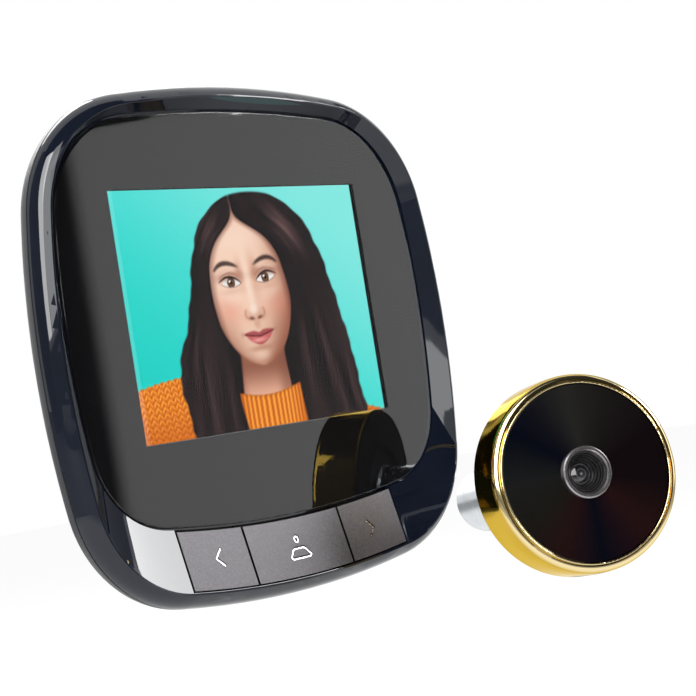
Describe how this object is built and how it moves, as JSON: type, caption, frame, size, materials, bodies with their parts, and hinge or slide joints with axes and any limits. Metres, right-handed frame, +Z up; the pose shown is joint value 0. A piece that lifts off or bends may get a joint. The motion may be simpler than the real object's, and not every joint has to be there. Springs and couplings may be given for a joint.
{
  "type": "door viewer camera",
  "caption": "Digital door viewer: a rounded square indoor monitor with keys under its screen, hung on a wall bracket, and a round gold-ringed outdoor camera on a tube through the door.",
  "frame": {"origin": "on the back face of the wall bracket, which lies on the door, midway between its two clamp screws", "axes": "+X to the viewer's right along the monitor, +Y into the door, +Z up; the screen faces -Y"},
  "size_m": [0.12, 0.0784, 0.0981],
  "materials": {
    "zinc_steel": "zinc plated, brushed",
    "screw_steel": "nickel plated",
    "shell_black": "glossy moulded ABS",
    "shell_grey": "satin moulded ABS",
    "key_grey": "satin painted ABS with printed symbols",
    "smoked_acrylic": "hard-coated smoked acrylic",
    "tape_black": "double-sided foam tape",
    "screen_picture": "lit colour picture",
    "bright_steel": "bright sheet",
    "amber_film": "polyimide film",
    "board_green": "solder-masked glass epoxy",
    "chip_black": "epoxy mould",
    "socket_ivory": "nylon",
    "switch_black": "nylon",
    "nickel": "nickel plated spring steel",
    "cell_jacket": "plain printed jacket",
    "gold_plate": "polished gold-coloured plating",
    "disc_black": "polished black",
    "satin_silver": "satin, fine turned",
    "anodised_black": "black anodised, matt",
    "lens_glass": "coated glass",
    "moulded_black": "matt moulded nylon",
    "plug_brass": "plain turned brass",
    "tube_satin": "satin plated",
    "gasket_rubber": "soft rubber sheet"
  },
  "bodies": {
    "wall_bracket": {"wall_bracket": "zinc_steel", "clamp_screws": "screw_steel"},
    "monitor": {"rear_cover": "shell_grey", "front_bezel": "shell_black", "display_window": "smoked_acrylic", "window_tapes": "tape_black", "display_panel": "screen_picture", "backlight_frame": "bright_steel", "display_flex": "amber_film", "main_board": "board_green", "board_chips": "chip_black", "ribbon_socket": "socket_ivory", "board_screws": "screw_steel", "key_switches": "switch_black", "case_screws": "screw_steel", "contact_plates": "nickel", "contact_springs": "nickel", "battery_1": "cell_jacket", "battery_2": "cell_jacket", "battery_3": "cell_jacket"},
    "battery_door": {"battery_door": "shell_grey"},
    "key_left": {"key_left": "key_grey", "plunger_left": "switch_black"},
    "key_centre": {"key_centre": "key_grey", "plunger_centre": "switch_black"},
    "key_right": {"key_right": "key_grey", "plunger_right": "switch_black"},
    "outdoor_camera": {"gold_ring": "gold_plate", "camera_disc": "disc_black", "disc_seal": "tape_black", "lens_ring": "satin_silver", "lens_barrel": "anodised_black", "front_lens": "lens_glass", "lens_spacer": "anodised_black", "rear_lens": "lens_glass", "lens_holder": "moulded_black", "image_sensor": "chip_black", "sensor_board": "board_green", "camera_socket": "socket_ivory", "sensor_screws": "screw_steel", "back_plate": "moulded_black", "door_tube": "tube_satin", "tube_end_plug": "plug_brass", "door_gasket": "gasket_rubber"}
  },
  "joints": [
    {"name": "monitor_lift", "type": "slide", "parent": "wall_bracket", "child": "monitor", "axis": [0, 0, 1], "range_m": [0, 0.005]},
    {"name": "battery_door_slide", "type": "slide", "parent": "monitor", "child": "battery_door", "axis": [0, 0, 1], "range_m": [0, 0.04]},
    {"name": "key_left_press", "type": "slide", "parent": "monitor", "child": "key_left", "axis": [0, 1, 0], "range_m": [0, 0.0005], "stiffness_N_per_m": 2000},
    {"name": "key_centre_press", "type": "slide", "parent": "monitor", "child": "key_centre", "axis": [0, 1, 0], "range_m": [0, 0.0005], "stiffness_N_per_m": 2000},
    {"name": "key_right_press", "type": "slide", "parent": "monitor", "child": "key_right", "axis": [0, 1, 0], "range_m": [0, 0.0005], "stiffness_N_per_m": 2000},
    {"name": "camera_slide", "type": "slide", "parent": "wall_bracket", "child": "outdoor_camera", "axis": [-0.451, -0.887, 0.0993], "range_m": [0, 0.064]}
  ]
}
